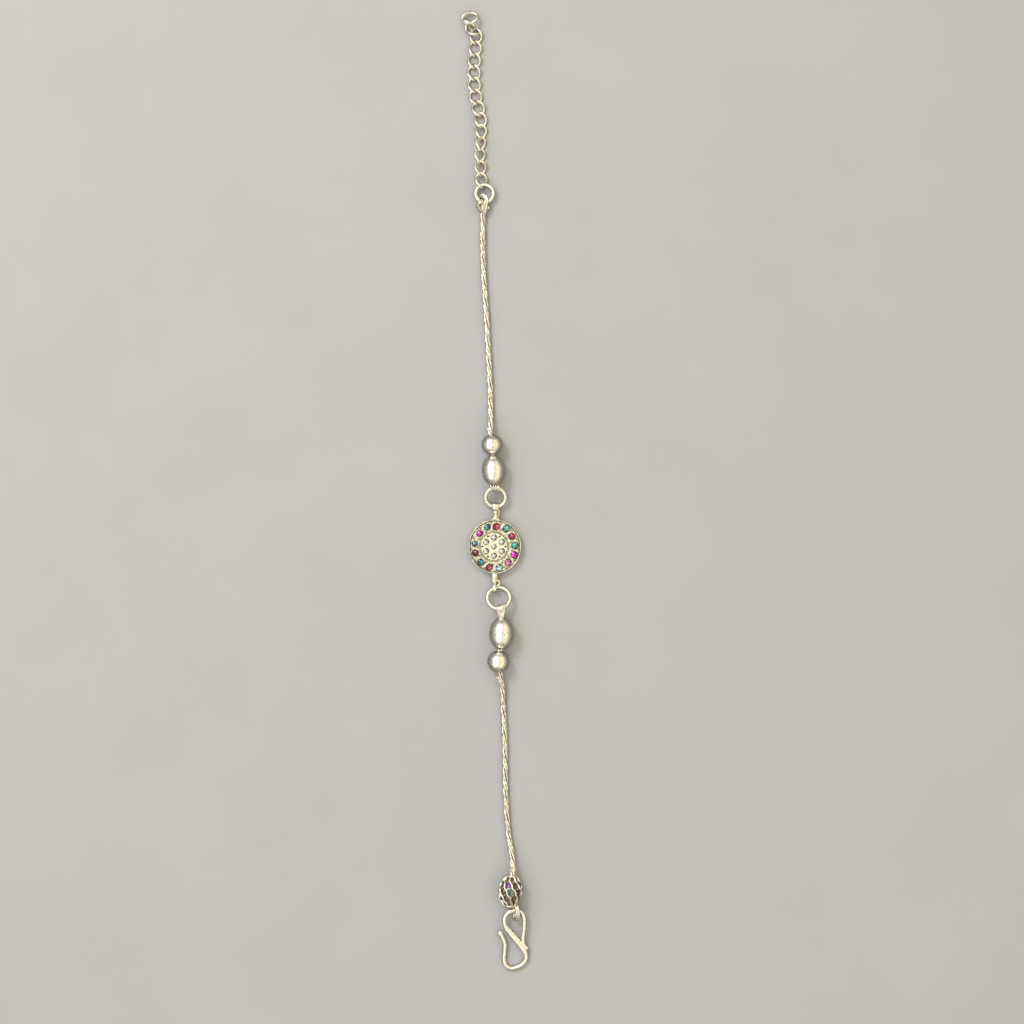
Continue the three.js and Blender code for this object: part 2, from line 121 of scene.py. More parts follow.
# The straight part of the S, from its upper left to its lower right.
HOOK_DIAGONAL = [(2.54, -85.4), (6.95, -91.1)]
HOOK_LEG = [
    (5.0, -81.58), (6.05, -82.1), (6.58, -83.2), (6.66, -84.8), (6.5, -86.6), (6.35, -88.3),
    (6.6, -89.5), (7.3, -90.3),
]
# Where the leg is soldered to the S: x, y and the drop's radius.
HOOK_SOLDER = [(5.35, -88.35, 0.42), (6.7, -90.6, 0.5)]

# Curb links: wire is its diameter, a little thicker than the CAD's; angles are in degrees.
LINK = dict(half_length=1.7, half_width=1.3, wire=0.6, twist=45)
# The middles of the links that lie in a row follow this route.
LINK_ROUTE = [
    (-3.05, 82.1, 0), (-3.36, 87.5, 0), (-3.15, 92.9, 0), (-3.3, 96.3, 0),
    (-4.4, 101.5, 0), (-4.72, 106.5, 0), (-4.3, 114.62, 0),
]
ROUTE_LINKS = 13
# How links differ from the route's plain lie, by number.
LINK_CHANGES = {
    1: dict(x=-3.05, y=82.08, heading=8, pitch=2, roll=28, twist=50),
    2: dict(roll=36, pitch=3), 3: dict(roll=44, pitch=3), 4: dict(roll=50, pitch=-3),
    5: dict(roll=34, pitch=-7), 6: dict(roll=17, pitch=-6), 7: dict(roll=4, pitch=-3),
}
# The last links, which lie on each other.
HEAPED_LINKS = [
    dict(x=-5.05, y=116.25, heading=50, pitch=-3, roll=12),
    dict(x=-5.75, y=117.4, heading=43, pitch=5, roll=90),
    dict(x=-5.57, y=118.67, heading=99, pitch=-3, roll=16, twist=18, lift=0.12),
]


# -------- lines and meshes

def unit(v):
    """The vector, or each row of vectors, at length 1."""
    return v / np.linalg.norm(v, axis=-1, keepdims=True)


def full_turn(count):
    """Angles evenly round a circle, in radians."""
    return np.linspace(0, math.tau, count, endpoint=False)


def smooth_line(points, per_span=24):
    """A centripetal Catmull-Rom line through the points, as the CAD's routes are."""
    p = np.asarray(points, float)
    p = np.vstack([2 * p[0] - p[1], p, 2 * p[-1] - p[-2]])
    gap = np.sqrt(np.linalg.norm(np.diff(p, axis=0), axis=1))
    t = np.linspace(0, 1, per_span, endpoint=False)[:, None]
    spans = []
    for i in range(1, len(p) - 2):
        before, here, after = gap[i - 1], gap[i], gap[i + 1]
        step = p[i + 1] - p[i]
        start = ((p[i] - p[i - 1]) / before - (p[i + 1] - p[i - 1]) / (before + here)) * here + step
        end = ((p[i + 2] - p[i + 1]) / after - (p[i + 2] - p[i]) / (here + after)) * here + step
        bend = 2 * t ** 3 - 3 * t ** 2
        spans.append(p[i] - bend * step + (t ** 3 - 2 * t ** 2 + t) * start + (t ** 3 - t ** 2) * end)
    return np.vstack([*spans, p[-2]])


def evenly(line, step):
    """The line's points again, evenly spaced, with their distance along it."""
    length = np.concatenate([[0], np.cumsum(np.linalg.norm(np.diff(line, axis=0), axis=1))])
    along = np.linspace(0, length[-1], max(3, round(length[-1] / step) + 1))
    return np.stack([np.interp(along, length, line[:, k]) for k in range(3)], axis=1), along


def tangents(line, closed=False):
    """The line's direction at each of its points."""
    if closed:
        return unit(np.roll(line, -1, axis=0) - np.roll(line, 1, axis=0))
    return unit(np.gradient(line, axis=0))


def grid_faces(rows, columns, wrap_rows=False):
    """Quads of a grid whose columns close on themselves."""
    r = np.arange(rows if wrap_rows else rows - 1)[:, None]
    c = np.arange(columns)[None, :]
    nxt, right = (r + 1) % rows, (c + 1) % columns
    quads = np.stack([r * columns + c, r * columns + right, nxt * columns + right, nxt * columns + c], -1)
    return quads.reshape(-1, 4).tolist()


# The rings of a wire's rounded end, as angles from its last full ring.
CAP_ANGLES = np.radians([84, 62, 38, 16])
CAP_COSINES = np.cos(CAP_ANGLES)


def with_caps(values):
    """The values along a wire, the first and last of them again for its rounded ends."""
    count = len(CAP_ANGLES)
    return np.concatenate([values[:1].repeat(count, axis=0), values, values[-1:].repeat(count, axis=0)])


def tube(line, radius, up, sides=12, closed=False, flat=1.0, cap=1.0):
    """A wire along a line. up gives the direction squeezed by flat; cap 1 rounds its ends, 0 cuts them."""
    line = np.asarray(line, float)
    radius = np.broadcast_to(np.asarray(radius, float), len(line))
    flat = np.broadcast_to(np.asarray(flat, float), len(line))
    along = tangents(line, closed)
    side = unit(np.cross(along, np.broadcast_to(up, line.shape)))
    rise = np.cross(side, along)
    if not closed:
        start = [line[0] - along[0] * radius[0] * cap * math.sin(a) for a in CAP_ANGLES]
        end = [line[-1] + along[-1] * radius[-1] * cap * math.sin(a) for a in CAP_ANGLES[::-1]]
        line = np.vstack([start, line, end])
        shrink = np.concatenate([CAP_COSINES, np.ones(len(radius)), CAP_COSINES[::-1]])
        radius, flat, side, rise = (with_caps(values) for values in (radius, flat, side, rise))
        radius = radius * shrink
    turn = full_turn(sides)
    ring = (np.cos(turn)[None, :, None] * side[:, None, :]
            - (flat[:, None] * np.sin(turn)[None, :])[:, :, None] * rise[:, None, :])
    points = line[:, None, :] + radius[:, None, None] * ring
    faces = grid_faces(len(line), sides, closed)
    if not closed:
        last = (len(line) - 1) * sides
        faces += [list(range(sides))[::-1], list(range(last, last + sides))]
    return points.reshape(-1, 3), faces


def revolved(profile, segments):
    """The points of (radius, z) rows turned about Z."""
    turn = full_turn(segments)
    return np.stack([profile[:, None, 0] * np.cos(turn), profile[:, None, 0] * np.sin(turn),
                     np.repeat(profile[:, None, 1], segments, axis=1)], axis=-1).reshape(-1, 3)


def closed_faces(rows, columns):
    """A grid's faces, closed at its first and last row round the two points that follow the grid's."""
    low, high, last = rows * columns, rows * columns + 1, (rows - 1) * columns
    faces = grid_faces(rows, columns)
    for i in range(columns):
        j = (i + 1) % columns
        faces += [[low, j, i], [high, last + i, last + j]]
    return faces


def ball(middle, radius, segments=16):
    """A small sphere, as solder or a grain of metal."""
    angles = np.linspace(-math.pi / 2, math.pi / 2, segments // 2 + 1)[1:-1]
    rows = radius * np.stack([np.cos(angles), np.sin(angles)], axis=1)
    points = np.vstack([revolved(rows, segments), [0, 0, -radius], [0, 0, radius]])
    return points + middle, closed_faces(len(rows), segments)


def ease(value, low, high):
    """0 below low, 1 above high, and smooth between them."""
    t = np.clip((value - low) / (high - low), 0, 1)
    return t * t * (3 - 2 * t)


def turning(degrees, axis):
    """The matrix that turns a column of coordinates by degrees about the axis X, Y or Z."""
    return np.array(Matrix.Rotation(math.radians(degrees), 3, axis))


def joined(parts):
    """One list of points, faces and recess values out of several parts."""
    points, faces, recess = [], [], []
    count = 0
    for part in parts:
        points.append(part[0])
        faces += [[i + count for i in face] for face in part[1]]
        recess.append(part[2] if len(part) > 2 else np.zeros(len(part[0])))
        count += len(part[0])
    return np.vstack(points), faces, np.concatenate(recess)


def new_object(name, data):
    """An object with that data, in the scene."""
    made = bpy.data.objects.new(name, data)
    bpy.context.collection.objects.link(made)
    return made


def mesh_object(name, parts, material, sharp_angle=40, painted_tones=None):
    """A mesh object from parts in millimetres; recess, from 0 to 1, marks painted shade, with some grime on
    the medallion's band.

    The last argument gives each face of a cut stone its painted light, from 0, dark, to 1.
    """
    points, faces, recess = joined(parts)
    mesh = bpy.data.meshes.new(name)
    mesh.from_pydata((points * MM).tolist(), [], faces)
    mesh.attributes.new("recess", "FLOAT", "POINT").data.foreach_set("value", recess.astype(np.float32))
    if painted_tones is not None:
        mesh.attributes.new("painted_light", "FLOAT", "FACE").data.foreach_set("value", painted_tones)
    mesh.shade_smooth()
    mesh.set_sharp_from_angle(angle=math.radians(sharp_angle))
    mesh.materials.append(material)
    return new_object(name, mesh)


def stand_for(piece, node):
    """Show the piece instead of the CAD's node, on the part's one body."""
    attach(piece, "root")
    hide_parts(node)


# -------- materials

# Silver's colours: of the wires, of the old medallion and of the polished beads, and the dark colour that
# its painted shade and its specks go to.
PALE = (0.93, 0.88, 0.73)
AGED = (0.85, 0.81, 0.63)
BRIGHT = (0.9, 0.87, 0.78)
SHADE_AND_TARNISH = (0.09, 0.07, 0.04)

# The middle of a noise's range, where it mostly lies.
NOISE_SPAN = (0.3, 0.7)


def set_inputs(node, values):
    """Fix inputs of a node by their names."""
    for name, value in values.items():
        node.inputs[name].default_value = value


class Nodes:
    """A material's or world's node tree, with short calls to add and link nodes."""

    def __init__(self, owner, shader="Principled BSDF"):
        owner.use_nodes = True
        self.owner = owner
        self.tree = owner.node_tree
        self.shader = self.tree.nodes[shader]

    def add(self, kind, **settings):
        node = self.tree.nodes.new(f"ShaderNode{kind}")
        for key, value in settings.items():
            setattr(node, key, value)
        return node

    def link(self, source, target):
        self.tree.links.new(source, target)

    def feed(self, name, source):
        self.link(source, self.shader.inputs[name])

    def noise(self, scale, detail=3.0, roughness=0.55):
        noise = self.add("TexNoise")
        set_inputs(noise, {"Scale": scale, "Detail": detail, "Roughness": roughness})
        self.link(self.add("TexCoord").outputs["Object"], noise.inputs["Vector"])
        return noise.outputs["Fac"]

    def ramp(self, source, stops):
        """A colour ramp with rows of a place and a colour."""
        ramp = self.add("ValToRGB")
        elements = ramp.color_ramp.elements
        while len(elements) < len(stops):
            elements.new(0.5)
        for element, (place, colour) in zip(elements, stops):
            element.position = place
            element.color = (*colour, 1)
        self.link(source, ramp.inputs["Fac"])
        return ramp.outputs["Color"]

    def mix(self, share, colour, other):
        """The linked colour, or the fixed other one where share is 1."""
        node = self.add("Mix", data_type="RGBA")
        first, second = (socket for socket in node.inputs if socket.type == "RGBA")
        self.link(share, node.inputs["Factor"])
        self.link(colour, first)
        second.default_value = (*other, 1)
        return next(socket for socket in node.outputs if socket.type == "RGBA")

    def map_range(self, source, given, wanted):
        node = self.add("MapRange")
        set_inputs(node, dict(zip(("From Min", "From Max", "To Min", "To Max"), (*given, *wanted))))
        self.link(source, node.inputs["Value"])
        return node.outputs["Result"]

    def bump(self, height, strength, distance):
        bump = self.add("Bump")
        set_inputs(bump, {"Strength": strength, "Distance": distance * MM})
        self.link(height, bump.inputs["Height"])
        self.feed("Normal", bump.outputs["Normal"])

    def gloss(self, scale, roughness):
        """Roughness that varies between its least and most."""
        self.feed("Roughness", self.map_range(self.noise(scale), NOISE_SPAN, roughness))


def silver_material(name, colour, mottle, roughness, dent, dent_scale, recess_shade, specks, *,
                    mottle_scale=1900, mottle_span=(0.38, 0.62), speck_scale=2600, speck_span=(0.6, 0.68),
                    gloss_scale=2500, dent_strength=0.6):
    """Silver: a colour mottled with a darker share of itself, soft dents, dark specks, and painted shade
    where the recess attribute marks it.
    """
    m = Nodes(bpy.data.materials.new(name))
    set_inputs(m.shader, {"Metallic": 1.0})
    darker = tuple(mottle * c for c in colour)
    shade = m.ramp(m.noise(mottle_scale), list(zip(mottle_span, (darker, colour))))
    # Painted shade: the recess attribute darkens hollows, grooves and the wires' inner sides towards the
    # dark colour, as the specks do.
    recess = m.add("Attribute", attribute_name="recess")
    shade_and_dirt = m.add("Math", operation="MAXIMUM")
    m.link(m.map_range(recess.outputs["Fac"], (0, 1), (0, recess_shade)), shade_and_dirt.inputs[0])
    m.link(m.map_range(m.noise(speck_scale, detail=4), speck_span, (0, specks)), shade_and_dirt.inputs[1])
    m.feed("Base Color", m.mix(shade_and_dirt.outputs[0], shade, SHADE_AND_TARNISH))
    m.gloss(gloss_scale, roughness)
    m.bump(m.noise(dent_scale, detail=2), dent_strength, dent)
    return m.owner


def stone_material(name, colour, ior=1.5, clear=0.3, dark=0.12, light=1.15, paler=0.22, tone_scale=1500,
                   tone_noise=0.2, facets=(-0.1, 0.9), places=(0.05, 0.5, 0.72, 0.95), gloss_scale=3000,
                   roughness=(0.0, 0.06)):
    """A cut stone: glossy facets coloured from a darker share of its colour to a lighter one by the painted
    light on each face, with some noise.
    """
    m = Nodes(bpy.data.materials.new(name))
    # Painted shade and highlight: a darker and a lighter share of the stone's colour, picked between by the
    # painted light on each face.
    deep = tuple(dark * c for c in colour)
    painted_highlight = tuple(min(1, light * c + paler) for c in colour)
    painted_light = m.add("Attribute", attribute_name="painted_light")
    tone = m.add("Math", operation="MULTIPLY_ADD")
    m.link(m.noise(tone_scale), tone.inputs[0])
    tone.inputs[1].default_value = tone_noise
    m.link(m.map_range(painted_light.outputs["Fac"], (0, 1), facets), tone.inputs[2])
    m.feed("Base Color", m.ramp(tone.outputs[0], list(zip(places, (deep, colour, colour, painted_highlight)))))
    set_inputs(m.shader, {"IOR": ior, "Transmission Weight": clear})
    m.gloss(gloss_scale, roughness)
    return m.owner


# The clear stones' cream is a painted reflection of the silver seats under them.
STONE_COLOURS = {
    "clear": (0.84, 0.83, 0.76), "crimson": (0.52, 0.0, 0.11), "green": (0.1, 0.5, 0.42),
    "magenta": (0.78, 0.005, 0.6), "pink": (0.85, 0.2, 0.48), "aqua": (0.5, 0.85, 0.9),
    "teal": (0.02, 0.24, 0.28), "garnet": (0.17, 0.0, 0.014), "steel": (0.05, 0.3, 0.4),
    "amethyst": (0.24, 0.05, 0.36), "sage": (0.14, 0.27, 0.23), "umber": (0.1, 0.045, 0.03),
}
# Each silver: its colour and darkest share of it, roughness, the depth and scale of its dents, how dark its
# painted shade in recesses goes, and its dark specks.
SILVER_KINDS = {
    "medallion": (AGED, 0.72, (0.34, 0.5), 0.14, 2600, 0.95, 0.6),
    "bead": (BRIGHT, 0.88, (0.2, 0.32), 0.1, 420, 1.0, 0.9),
    "chain": (PALE, 0.55, (0.3, 0.44), 0.02, 1500, 0.8, 0.6),
    "wire": (PALE, 0.8, (0.22, 0.36), 0.05, 600, 1.0, 0.5),
    "extension": (PALE, 0.85, (0.26, 0.4), 0.03, 700, 1.0, 0.4),
    "lattice": (PALE, 0.85, (0.3, 0.46), 0.03, 800, 0.95, 0.4),
}
silver = {kind: silver_material(f"silver_{kind}", *look) for kind, look in SILVER_KINDS.items()}
gem = {name: stone_material(f"stone_{name}", colour) for name, colour in STONE_COLOURS.items()}


# -------- rings, links and the hook

def ring_frame(spec):
    """A ring's middle, and the direction across it from -Y to +Y, which leans out of the level."""
    middle = np.array([spec["x"], spec["y"], (spec["low"] + spec["high"]) / 2])
    tilt = spec["rise"] * math.asin((spec["high"] - spec["low"]) / (2 * spec["radius"]))
    return middle, math.cos(tilt) * Y + math.sin(tilt) * Z


def silver_piece(name, kind, parts, sharp_angle=40):
    """The look of the CAD's node of that name, in one kind of silver."""
    piece = mesh_object(f"{name}_look", parts, silver[kind], sharp_angle)
    stand_for(piece, name)


def ring_piece(name, seam_turn, kind="wire", steps=120):
    """A round wire ring with the hair-thin seam where its ends meet, seam_turn degrees round it."""
    spec = RINGS[name]
    middle, across = ring_frame(spec)
    turn = full_turn(steps)[:, None]
    outward = np.cos(turn) * X + np.sin(turn) * across
    radius = np.full(steps, RING_WIRE * spec["wire"] / 2)
    radius[round(seam_turn / 360 * steps)] *= SEAM_SHARE
    line = middle + spec["radius"] * outward
    silver_piece(name, kind, [tube(line, radius, outward, sides=20, closed=True)])


def link_line(twist, steps=72):
    """A curb link's centre line about the origin: an oval with a twist along it."""
    t = full_turn(steps)
    side = LINK["half_width"] * np.cos(t)
    turn = math.radians(twist) * np.sin(t)
    return np.stack([side * np.cos(turn), LINK["half_length"] * np.sin(t), side * np.sin(turn)], axis=1)


def link_piece(number, x, y, heading, pitch=0, roll=0, twist=LINK["twist"], lift=0):
    """A link at the CAD link's height, rolled, pitched and headed by degrees, that stays above the floor."""
    name = f"extension_link_{number:02d}"
    line = link_line(twist)
    points, faces = tube(line, LINK["wire"] / 2, unit(line), sides=14, closed=True)
    low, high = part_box(name)
    middle_z = (low[2] + high[2]) / 2 / MM + lift
    matrix = turning(heading, "Z") @ turning(pitch, "X") @ turning(roll, "Y")
    points = points @ matrix.T + (x, y, middle_z)
    points[:, 2] -= min(0, points[:, 2].min())
    silver_piece(name, "extension", [(points, faces)])


def extension_chain():
    line, _ = evenly(smooth_line(LINK_ROUTE, per_span=200), step=0.02)
    direction = tangents(line)
    for i in range(ROUTE_LINKS):
        at = round(i / (ROUTE_LINKS - 1) * (len(line) - 1))
        heading = math.degrees(math.atan2(-direction[at][0], direction[at][1]))
        place = dict(x=line[at][0], y=line[at][1], heading=heading)
        link_piece(i + 1, **{**place, **LINK_CHANGES.get(i + 1, {})})
    for i, place in enumerate(HEAPED_LINKS):
        link_piece(ROUTE_LINKS + 1 + i, **place)


def on_hook(places):
    """The x, y places at the height of the hook's wire."""
    return np.array([(x, y, HOOK["low_z"] + HOOK["slope"] * (y - HOOK["low_y"])) for x, y in places])


def hook_piece(plain=1.04, wider=0.3, flare=0.36, flatter=0.3, leg=0.95, fade=1, flare_run=1.2, step=0.15):
    """The S and its soldered leg: round wire, hammered flatter along the diagonal and at its end.

    plain, wider, flare, flatter and leg are shares of the wire.
    """
    s_line, s_along = evenly(smooth_line(on_hook(HOOK_S)), step)
    leg_line, _ = evenly(smooth_line(on_hook(HOOK_LEG)), step)
    start, end = (s_along[np.hypot(s_line[:, 0] - x, s_line[:, 1] - y).argmin()] for x, y in HOOK_DIAGONAL)
    hammered = ease(s_along, start - fade, start + fade) * (1 - ease(s_along, end - fade, end + fade))
    flared = ease(s_along, s_along[-1] - flare_run, s_along[-1])
    radius = HOOK["wire"] * (plain + wider * hammered + flare * flared)
    flat = 1 - flatter * (hammered + flared)
    parts = [
        tube(s_line, radius, Z, sides=24, flat=flat, cap=0.12),
        tube(leg_line, HOOK["wire"] * leg, Z, sides=20, cap=0.5),
    ]
    parts += [ball(*on_hook([place]), size) for *place, size in HOOK_SOLDER]
    silver_piece("s_hook", "wire", parts)


# -------- beads

def direction_at(route, y):
    """A route's direction where it passes y, pointing towards +Y."""
    line, _ = evenly(smooth_line(route), step=0.1)
    nearest = np.abs(line[:, 1] - y).argmin()
    direction = tangents(line)[nearest]
    return direction * math.copysign(1, direction[1])


def bead_piece(name, spec, route, segments=96):
    """A polished hollow bead: an oval skin, its inside and a narrow lip at each hole."""
    radius, half = spec["radius"], spec["length"] / 2 - NECK_ROOM
    outside, inside = [], []
    for end, hole in zip((-1, 1), spec["holes"]):
        last = math.acos(hole / radius)
        pole = half / math.sin(last)
        for skin, wall, reach, steps in ((outside, 0, last, 24), (inside, BEAD_WALL, last * LIP_SHARE, 20)):
            for a in np.linspace(0, reach, steps)[1:]:
                skin.append(((radius - wall) * math.cos(a), end * (pole - wall) * math.sin(a)))
    profile = np.array(sorted(outside, key=lambda row: row[1]) + sorted(inside, key=lambda row: -row[1]))
    across, down, along = revolved(profile, segments).T
    points = np.stack([across, along, -down], axis=1)
    toward = Vector(direction_at(route, spec["y"]))
    matrix = np.array(Vector(Y).rotation_difference(toward).to_matrix())
    points = points @ matrix.T + (spec["x"], spec["y"], radius)
    faces = grid_faces(len(profile), segments, wrap_rows=True)
    silver_piece(name, "bead", [(points, faces)], sharp_angle=60)


# -------- chains

def twisted_wires(route, tight_to):
    """Four wires in two plies, twisted along a route, and drawn tight as far as tight_to from y = 0."""
    c = CHAIN
    line, along = evenly(smooth_line(route), c["step"])
    direction = tangents(line)
    side = unit(np.cross(direction, Z))
    rise = np.cross(side, direction)
    loose = np.clip((np.abs(line[:, 1]) - tight_to) / c["tight_run"], 0, 1)
    scale = c["tight"] + (1 - c["tight"]) * loose
    gap = (c["wire_gap"] + c["gap_swing"] * np.cos(math.tau * along / c["swing"]))[:, None]
    middle = with_caps(line).repeat(c["sides"], axis=0)
    parts = []
    for ply in (0, math.pi):
        angle = (math.tau * along / c["lay"] + ply)[:, None]
        out = np.cos(angle) * side + np.sin(angle) * rise
        around = -np.sin(angle) * side + np.cos(angle) * rise
        for hand in (-1, 1):
            wire_line = line + scale[:, None] * (c["ply_offset"] * out + hand * gap * around)
            points, faces = tube(wire_line, c["wire"] * scale, out, sides=c["sides"])
            # Painted shade: the sides of the wires that face the chain's middle, between the wires, are
            # darkened.
            depth = np.linalg.norm(points - middle, axis=1)
            parts.append((points, faces, np.clip((c["shade_radius"] - depth) / c["shade_fade"], 0, 1)))
    return parts


# Half the distance between the two strands of a loop.
PAIR_SHIFT = 0.24
# A strand's way round a ring's wire: towards the bead and up, in shares of its distance from that.
ROUND_A_WIRE = [(0.55, 0.9), (0, 1), (-0.72, 0.72), (-1, 0), (-0.72, -0.72), (0, -1), (0.6, -0.85)]


def strand(points, wire, up=Z, sides=14, cap=1.0, per_span=24):
    """A wire along a smooth line through the points."""
    line, _ = evenly(smooth_line(points, per_span), step=0.12)
    return tube(line, wire, up, sides, cap=cap)


def funnel(ring, end, centre_x, neck, spread, narrowing, wire, strands, clearance=1.1, neck_rise=0.22,
           arch=0.12, arch_share=0.35, uneven=0.06):
    """Strands that fan out of a bead's hole, loop over a ring's wire and come back below.

    narrowing is the share of the spread that is left where they leave the bead, neck_rise above and below
    its middle. They pass the ring's wire at clearance times their own, arching higher on the way.
    """
    spec = RINGS[ring]
    middle, across = ring_frame(spec)
    clear = RING_WIRE * spec["wire"] / 2 + clearance * wire
    rise = neck_rise * Z
    parts = []
    for k in range(strands):
        share = 2 * k / (strands - 1) - 1
        offset = centre_x + spread * share - spec["x"]
        depth = math.sqrt(spec["radius"] ** 2 - offset ** 2)
        over = middle + offset * X + end * depth * across
        root = np.asarray(neck) + narrowing * spread * share * X
        # The ring's wire runs askew of X there, so a strand has further to go round it.
        out = end * Y * spec["radius"] / depth
        halfway = (root + over + out * clear) / 2 + (arch + arch_share * clear) * Z
        around = [over + clear * (toward * out + up * Z) for toward, up in ROUND_A_WIRE]
        thick = wire * (1 + uneven * (-1) ** k)
        parts.append(strand([root + rise, halfway, *around, root - rise], thick, X, sides=12, per_span=12))
    return parts


def tail_of_wires(points, wire=0.2, shift=0.17, lay=5):
    """Two wires, each shifted from the middle, that turn about each other and are cut off square."""
    line, along = evenly(smooth_line(points), step=0.1)
    side = unit(np.cross(tangents(line), Z))
    turn = (math.tau * along / lay)[:, None]
    across = np.cos(turn) * side + np.sin(turn) * Z
    return [tube(line + hand * shift * across, wire, Z, sides=12, cap=0.2) for hand in (-1, 1)]


# The chain's end: an eye of two strands through the end ring, a strand down its middle, and the spare end
# curled round its neck.
KNOT_EYE = [
    (-2.45, 74.6, 1.15), (-2.2, 75.6, 1.75), (-2.05, 76.7, 2.0), (-1.9, 77.5, 2.05), (-2.0, 78.25, 1.85),
    (-2.6, 78.7, 1.6), (-3.08, 78.52, 1.15), (-3.14, 78.08, 0.54), (-3.2, 77.2, 0.36), (-3.0, 76.3, 0.4),
    (-2.75, 75.2, 0.8),
]
KNOT_MIDDLE = [(-2.95, 77.7, 2.03), (-2.85, 76.9, 2.1), (-2.7, 75.8, 2.0), (-2.6, 74.7, 1.3)]
KNOT_CURL = [
    (-2.85, 77.1, 2.25), (-3.2, 77.2, 2.3), (-3.6, 76.9, 2.0), (-3.68, 76.35, 1.6), (-3.42, 75.85, 1.35),
    (-3.0, 75.5, 1.0), (-2.3, 75.4, 0.6), (-1.75, 75.75, 0.8), (-1.5, 76.2, 1.25),
]


def knot_on_end_ring(eye_wire=0.27, middle_wire=0.3, curl_wire=0.5):
    eye, _ = evenly(smooth_line(KNOT_EYE), step=0.12)
    side = unit(np.cross(tangents(eye), Z))
    return [
        *(tube(eye + shift * side, eye_wire, Z, sides=14) for shift in (-PAIR_SHIFT, PAIR_SHIFT)),
        strand(KNOT_MIDDLE, middle_wire, cap=0.6),
        strand(KNOT_CURL, curl_wire, sides=16, cap=0.7),
    ]


# The loop from the stone-set bead round the hook's wire: x, y, z and the share of PAIR_SHIFT there.
HOOK_LOOP = [
    (4.45, -79.9, 2.3, 0.5), (4.95, -80.7, 2.95, 1), (5.15, -81.6, 3.08, 1), (5.2, -82.6, 2.9, 1),
    (5.05, -83.35, 2.4, 0.8), (4.6, -83.6, 1.8, 0.6), (4.45, -83.0, 1.3, 0.6), (4.55, -82.0, 1.06, 1),
    (4.6, -80.9, 1.3, 1), (4.45, -79.9, 1.9, 0.5),
]


def loop_on_hook(wire=0.28):
    parts = []
    for shift in (-PAIR_SHIFT, PAIR_SHIFT):
        points = [(x + share * shift, y, z) for x, y, z, share in HOOK_LOOP]
        parts.append(strand(points, wire, X, cap=0.6, per_span=12))
    return parts


# -------- cut stones

# The stones round the border, clockwise: colour, degrees from +X, distance from the middle and radius.
BORDER_STONES = [
    ("crimson", 86, 4.5, 0.75), ("green", 58, 4.75, 0.75), ("crimson", 31, 4.45, 0.7),
    ("green", 3, 4.55, 0.75), ("magenta", -23, 4.75, 0.75), ("pink", -50, 4.65, 0.7),
    ("aqua", -78, 4.8, 0.7), ("crimson", -105, 4.8, 0.7), ("teal", -132, 4.75, 0.7),
    ("garnet", -162, 4.6, 0.7), ("steel", 172, 4.55, 0.6), ("magenta", 139, 4.5, 0.7),
    ("teal", 111, 4.65, 0.65),
]
# The heights of the stones' girdles.
BORDER_HEIGHT = 1.78
CENTRE_HEIGHT = 1.9
# A stone's radius, as a share of its seat's.
STONE_FIT = 0.985
# Edges sharper than this many degrees stay sharp on a cut stone, which is all of them.
FACET_ANGLE = 3


def border_place(angle, distance):
    """x and y at an angle in degrees and a distance from the medallion's middle."""
    return distance * math.cos(math.radians(angle)), distance * math.sin(math.radians(angle))


def centre_places(distance, first_angle):
    """Six places round the raised disc's middle, clockwise."""
    places = (border_place(first_angle - 60 * k, distance) for k in range(6))
    return [(MEDALLION["centre_x"] + x, y) for x, y in places]


# The clear stones: x, y and radius, the middle one first.
CENTRE_STONES = [(MEDALLION["centre_x"], 0.0, 0.5), *((x, y, 0.6) for x, y in centre_places(2.05, 90))]
# The faces that brilliant makes for each of its eight sectors.
FACETS_IN_A_SECTOR = 10


def brilliant(radius, mains=8):
    """A brilliant cut about Z: table, stars, kites, girdle and pavilion. z = 0 is the girdle's top."""
    table, crown, star = 0.56, 0.3, 0.77
    girdle, culet, lower = 0.06, 0.92, 0.28
    step = math.tau / mains

    def row(count, r, z, turned_by=0.0):
        return [(r * math.cos(a + turned_by), r * math.sin(a + turned_by), z) for a in full_turn(count)]

    lean = math.cos(step / 2)
    star_z = crown * (1 - star * lean) / (1 - table)
    lower_z = -culet + (culet - girdle) * lower * lean
    points = [(0, 0, crown), *row(mains, table, crown), *row(mains, star, star_z, step / 2),
              *row(2 * mains, 1, 0), *row(2 * mains, 1, -girdle),
              *row(mains, lower, lower_z, step / 2), (0, 0, -culet)]
    # The first point of each row: table, stars, girdle's top and bottom, pavilion; then the tip.
    t, s, g, b, w = 1, 1 + mains, 1 + 2 * mains, 1 + 4 * mains, 1 + 6 * mains
    tip = w + mains
    faces = []
    for i in range(mains):
        j, h = (i + 1) % mains, (i - 1) % mains
        g0, g1, g2 = g + 2 * i, g + 2 * i + 1, g + (2 * i + 2) % (2 * mains)
        b0, b1, b2 = g0 - g + b, g1 - g + b, g2 - g + b
        faces += [[0, t + i, t + j], [t + i, s + i, t + j], [t + i, s + h, g0, s + i],
                  [s + i, g0, g1], [s + i, g1, g2], [g0, b0, b1, g1], [g1, b1, b2, g2],
                  [w + i, b1, b0], [w + i, b2, b1], [tip, w + i, b0, w + h]]
    return np.array(points) * radius, faces


